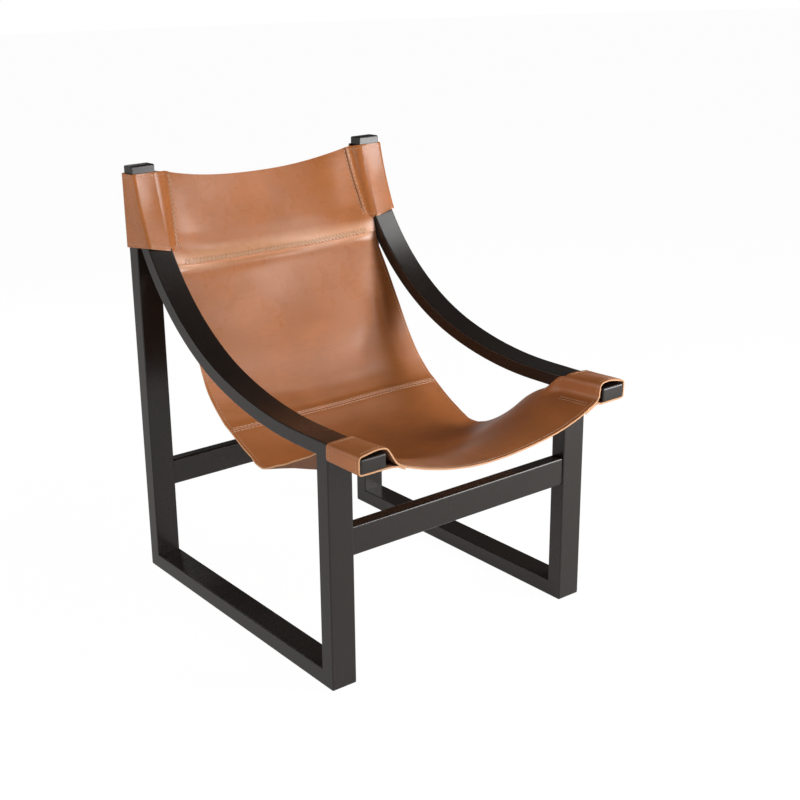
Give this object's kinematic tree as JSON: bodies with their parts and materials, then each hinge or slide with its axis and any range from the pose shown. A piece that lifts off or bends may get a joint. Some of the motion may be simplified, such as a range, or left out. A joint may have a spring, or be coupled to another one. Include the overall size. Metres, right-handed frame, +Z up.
{
  "type": "sling lounge chair",
  "caption": "Low lounge chair with two flat black wooden side frames, cross stretchers and a hanging sling of thick tan leather held by sleeves and loops.",
  "frame": {"origin": "on the floor, under the middle of the overall width and depth", "axes": "+Z up, the chair's front faces -Y, +X is to the right of someone who stands before the chair and looks at it"},
  "size_m": [0.675, 0.8224, 0.94],
  "materials": {
    "black_lacquered_wood": "satin black lacquer over hardwood",
    "tan_leather": "smooth, lightly waxed",
    "blackened_steel": "black",
    "zinc_plated_steel": "bright zinc",
    "beech": "bare"
  },
  "bodies": {
    "root": {"left_rear_leg": "black_lacquered_wood", "left_front_leg": "black_lacquered_wood", "left_floor_runner": "black_lacquered_wood", "left_curved_rail": "black_lacquered_wood", "right_rear_leg": "black_lacquered_wood", "right_front_leg": "black_lacquered_wood", "right_floor_runner": "black_lacquered_wood", "right_curved_rail": "black_lacquered_wood", "front_stretcher": "black_lacquered_wood", "lower_rear_stretcher": "black_lacquered_wood", "upper_rear_stretcher": "black_lacquered_wood", "left_front_stretcher_bolt": "blackened_steel", "left_lower_rear_stretcher_bolt": "blackened_steel", "left_upper_rear_stretcher_bolt": "blackened_steel", "right_front_stretcher_bolt": "blackened_steel", "right_lower_rear_stretcher_bolt": "blackened_steel", "right_upper_rear_stretcher_bolt": "blackened_steel", "left_front_stretcher_nut": "zinc_plated_steel", "left_lower_rear_stretcher_nut": "zinc_plated_steel", "left_upper_rear_stretcher_nut": "zinc_plated_steel", "right_front_stretcher_nut": "zinc_plated_steel", "right_lower_rear_stretcher_nut": "zinc_plated_steel", "right_upper_rear_stretcher_nut": "zinc_plated_steel", "left_front_stretcher_lower_dowel": "beech", "left_front_stretcher_upper_dowel": "beech", "left_lower_rear_stretcher_lower_dowel": "beech", "left_lower_rear_stretcher_upper_dowel": "beech", "left_upper_rear_stretcher_lower_dowel": "beech", "left_upper_rear_stretcher_upper_dowel": "beech", "left_front_runner_inner_dowel": "beech", "left_front_runner_outer_dowel": "beech", "left_rear_runner_inner_dowel": "beech", "left_rear_runner_outer_dowel": "beech", "left_rail_front_inner_dowel": "beech", "left_rail_front_outer_dowel": "beech", "left_rail_rear_inner_dowel": "beech", "left_rail_rear_outer_dowel": "beech", "right_front_stretcher_lower_dowel": "beech", "right_front_stretcher_upper_dowel": "beech", "right_lower_rear_stretcher_lower_dowel": "beech", "right_lower_rear_stretcher_upper_dowel": "beech", "right_upper_rear_stretcher_lower_dowel": "beech", "right_upper_rear_stretcher_upper_dowel": "beech", "right_front_runner_inner_dowel": "beech", "right_front_runner_outer_dowel": "beech", "right_rear_runner_inner_dowel": "beech", "right_rear_runner_outer_dowel": "beech", "right_rail_front_inner_dowel": "beech", "right_rail_front_outer_dowel": "beech", "right_rail_rear_inner_dowel": "beech", "right_rail_rear_outer_dowel": "beech", "head_band": "tan_leather", "left_post_sleeve": "tan_leather", "right_post_sleeve": "tan_leather", "back_panel": "tan_leather", "seat_panel": "tan_leather"}
  },
  "joints": []
}
